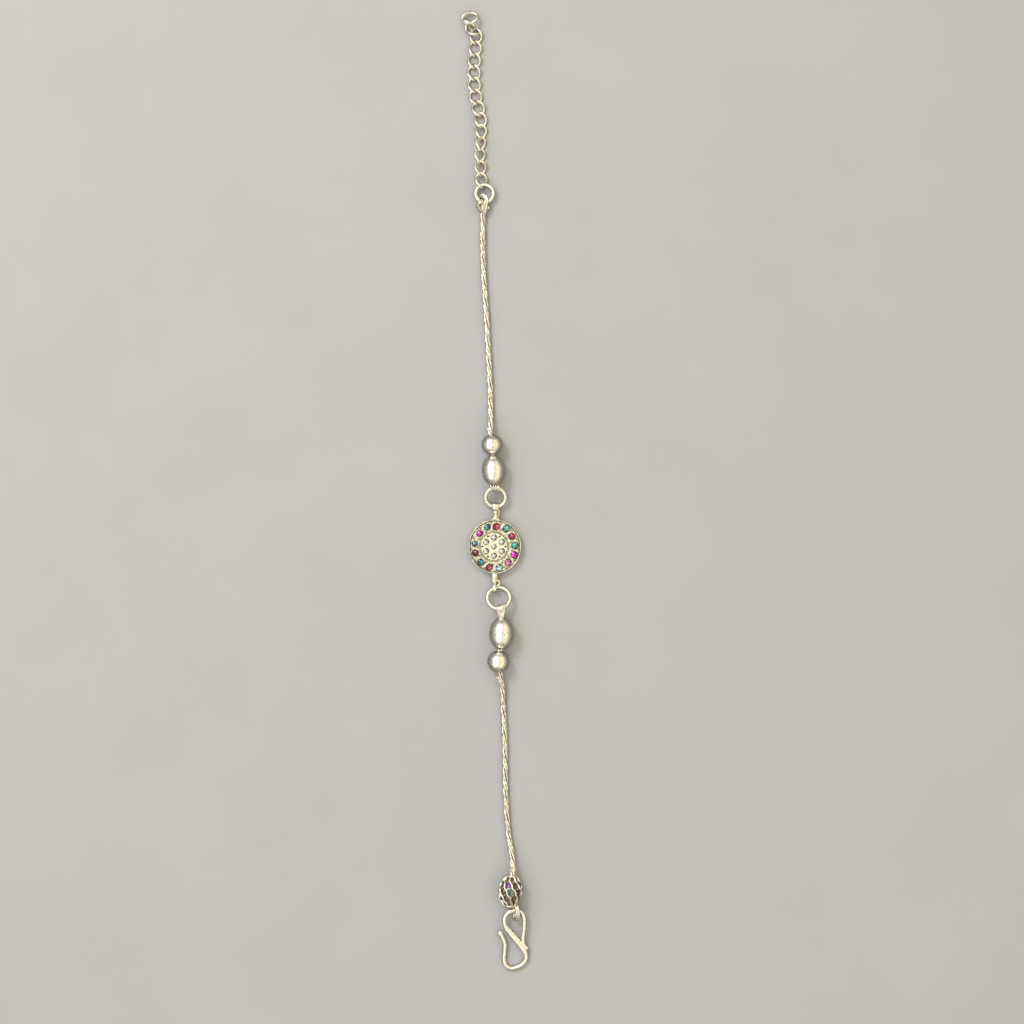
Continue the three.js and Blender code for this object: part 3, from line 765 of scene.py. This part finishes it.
def painted_facet_light(points, faces, radius, plain=0.5, side=0.3, lit=(0.05, 0.3), sector=0.26, girdle=0.35,
                dim=(0.6, 0.9)):
    """Painted light for each face of a stone: a lit side, lighter and darker sectors in turn, and shade near
    the girdle, all painted.

    lit and dim are the distances from the middle over which the side and the girdle make a difference.
    """
    painted_tones = []
    for i, face in enumerate(faces):
        x, y = points[face].mean(axis=0)[:2] / radius
        away = math.hypot(x, y)
        # Painted light: the +X side lit, every other sector lighter, the girdle's faces in shade.
        tone = plain + side * math.cos(math.atan2(y, x)) * ease(away, *lit)
        tone += sector * (-1) ** (i // FACETS_IN_A_SECTOR) - girdle * ease(away, *dim)
        painted_tones.append(tone)
    return np.clip(painted_tones, 0, 1).astype(np.float32)


def stone_piece(name, colour, x, y, z, radius, spin):
    """One stone in its seat, spun by degrees."""
    points, faces = brilliant(radius * STONE_FIT)
    painted_tones = painted_facet_light(points, faces, radius)
    placed = points @ turning(spin, "Z").T + (x, y, z)
    piece = mesh_object(f"{name}_look", [(placed, faces)], gem[colour], FACET_ANGLE, painted_tones)
    stand_for(piece, name)


def all_stones(border_spin=47, centre_spin=11, first_spin=150):
    """Each stone is spun some degrees from the one before it, so that no two sparkle alike and their painted
    lit sides face different ways.
    """
    for i, (colour, angle, distance, radius) in enumerate(BORDER_STONES):
        x, y = border_place(angle, distance)
        stone_piece(f"border_stone_{i + 1:02d}", colour, x, y, BORDER_HEIGHT, radius, border_spin * i)
    for i, (x, y, radius) in enumerate(CENTRE_STONES):
        spin = first_spin + centre_spin * i
        stone_piece(f"centre_stone_{i + 1:02d}", "clear", x, y, CENTRE_HEIGHT, radius, spin)


# -------- medallion

def hump(distance, width):
    """1 at distance 0, falling smoothly to 0 at the width."""
    return np.clip(1 - (distance / width) ** 2, 0, 1) ** 2


# Ridges and grooves round the medallion's middle and round the disc's: radius, half width, height, and
# painted shade, which darkens the grooves.
RIM_CIRCLES = [(5.945, 0.4, 0.25, 0), (5.72, 0.13, -0.16, 0.75)]
DISC_CIRCLES = [(3.28, 0.13, 0.16, 0), (3.13, 0.08, -0.08, 0.6), (3.43, 0.08, -0.08, 0.6)]
# The band's dirt and uneven casting, and the distances from the disc's middle over which they come up.
BAND_DIRT = dict(amount=0.22, over=(3.4, 3.6))
BAND_CAST = dict(height=0.035, shade_and_dirt=0.3, hollows=(-0.2, -0.8), over=(3.4, 3.7))
# The pits between the clear stones: distance from the disc's middle, then half width, height and the painted
# shade that darkens them.
PIT_DISTANCE = 2.62
PIT = (0.3, -0.3, 1.3)
# The grains in each gap between border stones: degrees and distance from the gap's middle, and radius; then
# their height, and a ring of painted shade round each: how dark, at what share of its radius, and half its
# width.
GRAINS = [(3, 0.6, 0.22), (-3, -0.7, 0.2)]
GRAIN = dict(height=0.2, shade_and_dirt=0.6, shade_at=1.15, shade_width=0.1)
# A stone's seat, with its depth and slope in the stone's radii, and the raised collar round it; each carries
# painted shade, the seat under its stone and a ring round the seat's edge.
SEAT = dict(room=0.02, depth=0.98, slope=0.9, bend=1.3, shade_and_dirt=0.4)
COLLAR = dict(out=0.1, half_width=0.11, height=0.1, shade_and_dirt=0.85)
# The medallion's back and edge, from below: how far in from its radius, and height.
EDGE = [(0.4, 0.0), (0.1, 0.16), (0, 0.45), (0, 1.1), (0, 1.55), (0.01, 1.68)]
# How much darker the medallion's back and edge rows are made.
EDGE_DARKENING = 0.2
# The hand-made outline, a little out of round: lobes, their share of the radius and their turn.
OUT_OF_ROUND = [(2, 0.004, 0.5), (5, 0.003, 1)]


def grains():
    """Small beads of metal that hold the border stones: x, y and radius, two in each gap."""
    places = []
    for i, (_, angle, distance, _) in enumerate(BORDER_STONES):
        _, following, next_distance, _ = BORDER_STONES[(i + 1) % len(BORDER_STONES)]
        middle = angle - ((angle - following) % 360) / 2
        out = (distance + next_distance) / 2
        places += [(*border_place(middle + turn, out + away), radius) for turn, away, radius in GRAINS]
    return places


def uneven(x, y):
    """Soft swells from -1 to 1 without a visible repeat, as old castings have."""
    return np.sin(3.1 * x + 1.7 * np.sin(2.3 * y)) * np.sin(2.7 * y + 1.9 * np.sin(1.9 * x + 1))


def medallion_height(x, y):
    """The height of the medallion's face, and how dark each point is made: painted shade in grooves, pits,
    seats and round grains, and grime on the band.
    """
    m = MEDALLION
    r = np.hypot(x / m["width_scale"], y)
    disc_r = np.hypot((x - m["centre_x"]) / m["width_scale"], y)
    on_disc = 1 - ease(disc_r, m["disc"], m["disc_foot"])
    z = m["band_height"] + (m["disc_height"] - m["band_height"]) * on_disc
    shade_and_dirt = BAND_DIRT["amount"] * ease(disc_r, *BAND_DIRT["over"])
    cast, on_band = uneven(x, y), ease(disc_r, *BAND_CAST["over"])
    z += BAND_CAST["height"] * cast * on_band
    shade_and_dirt += BAND_CAST["shade_and_dirt"] * ease(cast, *BAND_CAST["hollows"]) * on_band
    marks = [(r - place, *rest) for place, *rest in RIM_CIRCLES]
    marks += [(disc_r - place, *rest) for place, *rest in DISC_CIRCLES]
    marks += [(np.hypot(x - px, y - py), *PIT) for px, py in centre_places(PIT_DISTANCE, 0)]
    # Painted shade: grooves and pits are darkened.
    for distance, width, height, painted_shade in marks:
        mark = hump(distance, width)
        z += height * mark
        shade_and_dirt += painted_shade * mark
    for gx, gy, radius in grains():
        away = np.hypot(x - gx, y - gy)
        z += GRAIN["height"] * hump(away, radius)
        # Painted shade in a ring round each grain.
        shade_and_dirt += GRAIN["shade_and_dirt"] * hump(away - radius * GRAIN["shade_at"], GRAIN["shade_width"])
    stones = [(*border_place(angle, out), radius, BORDER_HEIGHT) for _, angle, out, radius in BORDER_STONES]
    stones += [(sx, sy, radius, CENTRE_HEIGHT) for sx, sy, radius in CENTRE_STONES]
    for sx, sy, radius, girdle in stones:
        away = np.hypot(x - sx, y - sy)
        z += COLLAR["height"] * hump(away - (radius + COLLAR["out"]), COLLAR["half_width"])
        edge = radius + SEAT["room"]
        rise = np.clip(away / edge, 0, 1) ** SEAT["bend"]
        seat = girdle + radius * (SEAT["slope"] * rise - SEAT["depth"])
        z = np.where(away < edge, np.minimum(z, seat), z)
        # Painted shade: a ring round each seat's edge, and the seat under each stone.
        shade_and_dirt += COLLAR["shade_and_dirt"] * hump(away - edge, COLLAR["half_width"]) + SEAT["shade_and_dirt"] * (away < radius)
    return z, np.clip(shade_and_dirt, 0, 1)


def medallion_disc(segments=440, rings=200, first=6.11, last=0.03, shift=(3.8, 5.7)):
    """One closed skin: flat back, chamfered edge, and the face shaped by medallion_height.

    The face's circles, from the first radius to the last, shift from the rim's middle to the disc's, so
    the ridges follow them.
    """
    m = MEDALLION
    turn = full_turn(segments)
    outline = 1 + sum(share * np.cos(lobes * turn + start) for lobes, share, start in OUT_OF_ROUND)

    def circle(radius):
        return m["width_scale"] * radius * outline * np.cos(turn), radius * outline * np.sin(turn)

    rows, shade_and_dirt = [], []
    for inward, height in EDGE:
        rows.append(np.stack([*circle(m["radius"] - inward), np.full(segments, height)], axis=1))
        shade_and_dirt.append(np.full(segments, EDGE_DARKENING))
    for radius in np.linspace(first, last, rings):
        x, y = circle(radius)
        x += m["centre_x"] * (1 - ease(radius, *shift))
        z, shade = medallion_height(x, y)
        rows.append(np.stack([x, y, z], axis=1))
        shade_and_dirt.append(shade)
    points = np.vstack([*rows, [[0, 0, 0]], [rows[-1].mean(axis=0)]])
    shade_and_dirt = np.concatenate([*shade_and_dirt, [EDGE_DARKENING, shade_and_dirt[-1].mean()]])
    return points, closed_faces(len(rows), segments), shade_and_dirt


# The eyes at the medallion's ends: side is 1 at +Y, reach is how far out the loop's middle is, and its wire
# is broadened to width along X. neck gives the bar: distance out, half its width and half its height.
EYES = [
    dict(side=1, x=0.22, z=1.35, reach=8.84, hole=0.58, wire=0.5, width=1.5, neck=[
        (5.4, 1.7, 0.1), (5.8, 1.4, 0.28), (6.1, 1.02, 0.4), (6.5, 0.64, 0.45), (6.9, 0.46, 0.48),
        (7.25, 0.45, 0.5), (7.75, 0.64, 0.48), (8.2, 0.8, 0.42),
    ]),
    dict(side=-1, x=-0.05, z=1.25, reach=9.3, hole=0.66, wire=0.5, width=0.95, neck=[
        (5.5, 0.9, 0.2), (6.0, 0.82, 0.45), (6.5, 0.75, 0.55), (7.1, 0.73, 0.55), (7.7, 0.68, 0.52),
        (8.1, 0.55, 0.48), (8.5, 0.47, 0.42),
    ]),
]
# A curl of wire beside the lower eye, a straight end beside the upper one, and a drop of solder.
CURL = dict(wire=0.25, route=[
    (0.2, -7.7, 1.5), (0.62, -7.55, 1.75), (0.98, -7.85, 1.78), (1.02, -8.35, 1.72), (0.72, -8.8, 1.85),
])
WIRE_END = dict(wire=0.15, route=[(0.75, 8.6, 1.75), (0.98, 8.0, 1.8), (0.92, 7.3, 1.7), (0.78, 6.8, 1.6)])
SOLDER_DROP = dict(place=(-0.3, -5.95, 1.72), radius=0.26)


def eye(side, x, z, reach, hole, wire, width, neck):
    """An eye: a loop, and the bar that joins it to the medallion's edge."""
    radius = hole + wire / 2
    turn = full_turn(64)[:, None]
    outward = np.cos(turn) * Y + np.sin(turn) * Z
    middle = np.array([x, side * reach, z])
    loop = tube(middle + radius * outward, width / 2, outward, sides=20, closed=True, flat=wire / width)
    rows = smooth_line(neck, per_span=10)
    line = np.stack([np.full(len(rows), x), side * rows[:, 0], np.full(len(rows), z)], axis=1)
    bar = tube(line, rows[:, 1], Z, sides=28, flat=rows[:, 2] / rows[:, 1], cap=0.2)
    return [loop, bar]


def medallion_piece():
    parts = [medallion_disc()]
    for spec in EYES:
        parts += eye(**spec)
    parts += [
        tube(smooth_line(CURL["route"]), CURL["wire"], Z, sides=14),
        tube(smooth_line(WIRE_END["route"]), WIRE_END["wire"], Z, sides=12, cap=0.6),
        ball(SOLDER_DROP["place"], SOLDER_DROP["radius"]),
    ]
    silver_piece("medallion", "medallion", parts, sharp_angle=50)


# -------- stone-set bead

# Its rows of stones: how many, their twist in radians a millimetre, and the first one's turn from the top.
BEAD_ROWS = 8
BEAD_TWIST = -0.25
FIRST_ROW = 0.05
# Places along the bead's axis, from its middle, with the radius of the stone at each.
BEAD_STONE_PLACES = [(2.75, 0.42), (1.45, 0.66), (0.0, 0.7), (-1.45, 0.66), (-2.75, 0.42)]
# Colours along each row, from the extension chain's side to the hook's.
BEAD_STONE_COLOURS = [row.split() for row in (
    "umber amethyst sage umber umber", "umber umber umber umber garnet",
    "sage umber amethyst garnet umber", "garnet sage umber umber sage",
    "umber amethyst garnet sage umber", "amethyst umber sage umber garnet",
    "umber garnet umber umber umber", "garnet umber umber umber umber",
)]
# Slot names beside the bead's stone colours; the script loops over them but gives no piece a slot.
STONE_SLOTS = {"umber": "stone_garnet", "garnet": "stone_garnet", "sage": "stone_green",
               "amethyst": "stone_magenta"}
# How deep under the outside the core's skin, the lattice, its balls, the end rims and the girdles lie.
DEPTHS = dict(core=0.52, wall=0.3, ball=0.34, rim=0.18, girdle=0.36)
LEAN = math.radians(STONE_BEAD["lean"])
BEAD_MIDDLE = np.array([STONE_BEAD["x"], STONE_BEAD["y"], STONE_BEAD["radius"]])
BEAD_AXIS = np.array([math.sin(LEAN), math.cos(LEAN), 0])
BEAD_ACROSS = np.array([math.cos(LEAN), -math.sin(LEAN), 0])
BEAD_TURNS = full_turn(64)


def stone_bead_radius(t):
    """The bead's radius, t along its axis from its middle."""
    share = np.abs(t) / (STONE_BEAD["length"] / 2)
    end = STONE_BEAD["end_radius"]
    return end + (STONE_BEAD["radius"] - end) * (1 - np.minimum(share, 1) ** STONE_BEAD["bend"])


def stone_bead_out(turn):
    """The direction away from the bead's axis, turn radians from straight up."""
    turn = np.asarray(turn, float)[..., None]
    return np.sin(turn) * BEAD_ACROSS + np.cos(turn) * Z


def on_stone_bead(turn, t, depth):
    """A point depth under the bead's outside, t along its axis."""
    reach = np.asarray(stone_bead_radius(t) - depth)[..., None]
    return BEAD_MIDDLE + np.asarray(t, float)[..., None] * BEAD_AXIS + reach * stone_bead_out(turn)


def stone_turn(row, t):
    """The turn at which a row of stones passes t; half a row is the lattice between two rows."""
    return FIRST_ROW + math.tau * row / BEAD_ROWS + BEAD_TWIST * t


def stone_bead_core(t, bore=1.3, least_wall=0.08, shade_and_dirt=0.85):
    """The body under the stones, bored for the chain, darkened all over by painted shade."""
    outside = on_stone_bead(BEAD_TURNS[None, :], t[:, None], DEPTHS["core"])
    reach = np.minimum(bore, stone_bead_radius(t) - DEPTHS["core"] - least_wall)[:, None, None]
    inside = BEAD_MIDDLE + t[:, None, None] * BEAD_AXIS + reach * stone_bead_out(BEAD_TURNS)[None, :, :]
    core = np.concatenate([outside, inside[::-1]])
    faces = grid_faces(len(core), len(BEAD_TURNS), wrap_rows=True)
    return core.reshape(-1, 3), faces, np.full(core.size // 3, shade_and_dirt)


def stone_bead_lattice(t, wall=0.23, height=1.5, wave=0.05, wave_length=1.45, wave_start=0.8, ball_size=0.16,
                       ball_place=0.72, rim=0.24, rim_inset=0.16):
    """A waving wall between each two rows of stones with a ball on either side, and a rim at each end.

    wall is half its width, height a share of that, and wave is in radians round the axis.
    """
    parts = []
    for row in range(BEAD_ROWS):
        turn = stone_turn(row + 0.5, t) + wave * np.sin(math.tau * t / wave_length + wave_start)
        line = on_stone_bead(turn, t, DEPTHS["wall"])
        parts.append(tube(line, wall, stone_bead_out(turn), sides=16, flat=height))
        parts += [ball(on_stone_bead(stone_turn(row, place), place, DEPTHS["ball"]), ball_size)
                  for place in (ball_place, -ball_place)]
    for end in (-1, 1):
        rim_t = np.full(len(BEAD_TURNS), end * (STONE_BEAD["length"] / 2 - rim_inset))
        line = on_stone_bead(BEAD_TURNS, rim_t, DEPTHS["rim"])
        parts.append(tube(line, rim, stone_bead_out(BEAD_TURNS), sides=16, closed=True))
    return parts


def stone_bead_stones(wanted):
    """The parts and the painted light on each face of the bead's stones of one colour."""
    stones, painted_tones = [], []
    for row, colours in enumerate(BEAD_STONE_COLOURS):
        for (place, radius), colour in zip(BEAD_STONE_PLACES, colours):
            if colour != wanted:
                continue
            turn = stone_turn(row, place)
            out = stone_bead_out(turn)
            side = unit(np.cross(BEAD_AXIS, out))
            axes = np.array([side, np.cross(out, side), out])
            points, faces = brilliant(radius)
            stones.append((points @ axes + on_stone_bead(turn, place, DEPTHS["girdle"]), faces))
            painted_tones.append(painted_facet_light(points, faces, radius))
    return stones, np.concatenate(painted_tones)


def stone_bead_pieces(inset=0.1, steps=70):
    end = STONE_BEAD["length"] / 2 - inset
    t = np.linspace(-end, end, steps)
    silver_piece("stone_bead", "lattice", [stone_bead_core(t), *stone_bead_lattice(t)])
    for colour, slot in STONE_SLOTS.items():
        stones, painted_tones = stone_bead_stones(colour)
        piece = mesh_object(f"stone_bead_{colour}", stones, gem[colour], FACET_ANGLE, painted_tones)
        stand_for(piece, "stone_bead")


# -------- the studio

# The camera looks straight down: its place and lens in millimetres, and its clipping in metres.
CAMERA = dict(place=(3.85, 7.76, 600), lens=93.75, sensor=36, clip=(0.01, 10))
# The floor's two shades, what glossy things mirror instead of them, and how far it reaches, in metres.
FLOOR_SHADES = [(0.4, (0.375, 0.375, 0.38)), (0.6, (0.385, 0.385, 0.39))]
FLOOR_IN_MIRRORS = (0.14, 0.138, 0.13)
FLOOR_REACH = 3.0
# Lamps that face the origin: name, place and size in millimetres, watts and colour.
LIGHTS = [
    ("key", (-350, 420, 650), (200, 200), 2.6, (1, 0.98, 0.95)),
    ("softbox", (-330, 30, 580), (2000, 820), 4.6, (1, 1, 1)),
    ("warm", (400, -20, 480), (2400, 560), 2.5, (1, 0.85, 0.45)),
]
# The sky's colour at heights from the horizon to overhead.
SKY = [(0, (0.46, 0.455, 0.43)), (0.5, (0.54, 0.53, 0.49)), (1, (0.74, 0.72, 0.65))]


def make_camera():
    data = bpy.data.cameras.new("camera")
    data.lens, data.sensor_width = CAMERA["lens"], CAMERA["sensor"]
    data.clip_start, data.clip_end = CAMERA["clip"]
    camera = new_object("camera", data)
    camera.location = Vector(CAMERA["place"]) * MM
    bpy.context.scene.camera = camera


def make_floor(noise_scale=40, roughness=0.7):
    """A plain pale floor, which polished metal and stones mirror as dark card, so their edges show."""
    m = Nodes(bpy.data.materials.new("pale_floor"))
    path = m.add("LightPath")
    shade = m.ramp(m.noise(noise_scale), FLOOR_SHADES)
    m.feed("Base Color", m.mix(path.outputs["Is Glossy Ray"], shade, FLOOR_IN_MIRRORS))
    set_inputs(m.shader, {"Roughness": roughness})
    mesh = bpy.data.meshes.new("floor")
    corners = [(FLOOR_REACH * x, FLOOR_REACH * y, 0) for x, y in ((-1, -1), (1, -1), (1, 1), (-1, 1))]
    mesh.from_pydata(corners, [], [(0, 1, 2, 3)])
    mesh.materials.append(m.owner)
    new_object("floor", mesh)


def make_lights():
    for name, place, size, watts, colour in LIGHTS:
        data = bpy.data.lights.new(name, "AREA")
        data.shape = "RECTANGLE"
        data.size, data.size_y = (side * MM for side in size)
        data.energy = watts
        data.color = colour
        lamp = new_object(name, data)
        lamp.location = Vector(place) * MM
        lamp.rotation_euler = (-lamp.location).to_track_quat("-Z", "Y").to_euler()


def make_sky():
    """Soft light from all round, brighter overhead, and colours shown as they are."""
    bpy.context.scene.world = bpy.data.worlds.new("studio")
    m = Nodes(bpy.context.scene.world, "Background")
    split = m.add("SeparateXYZ")
    m.link(m.add("TexCoord").outputs["Generated"], split.inputs[0])
    m.feed("Color", m.ramp(split.outputs["Z"], SKY))
    bpy.context.scene.view_settings.view_transform = "Standard"


# -------- the bracelet

make_camera()
make_floor()
make_lights()
make_sky()
ring_piece("jump_ring_upper", seam_turn=200)
ring_piece("jump_ring_lower", seam_turn=35)
ring_piece("end_ring", seam_turn=150, kind="extension")
for bead_name, bead_spec in BEADS.items():
    bead_piece(bead_name, bead_spec, UPPER_ROUTE if bead_name.endswith("upper") else LOWER_ROUTE)
silver_piece("chain_upper", "chain", [
    *twisted_wires(UPPER_ROUTE, tight_to=24.6),
    *funnel("jump_ring_upper", end=1, centre_x=-0.05, neck=(-0.12, 14.6, 2.62), spread=0.8,
            narrowing=0.95, wire=0.2, strands=4),
    *tail_of_wires(TAILS["upper"]), *knot_on_end_ring(),
])
silver_piece("chain_lower", "chain", [
    *twisted_wires(LOWER_ROUTE, tight_to=28.4),
    *funnel("jump_ring_lower", end=-1, centre_x=1.42, neck=(1.45, -15.9, 2.98), spread=0.74,
            narrowing=0.5, wire=0.21, strands=5),
    *tail_of_wires(TAILS["lower"]), *loop_on_hook(),
])
extension_chain()
hook_piece()
medallion_piece()
all_stones()
stone_bead_pieces()
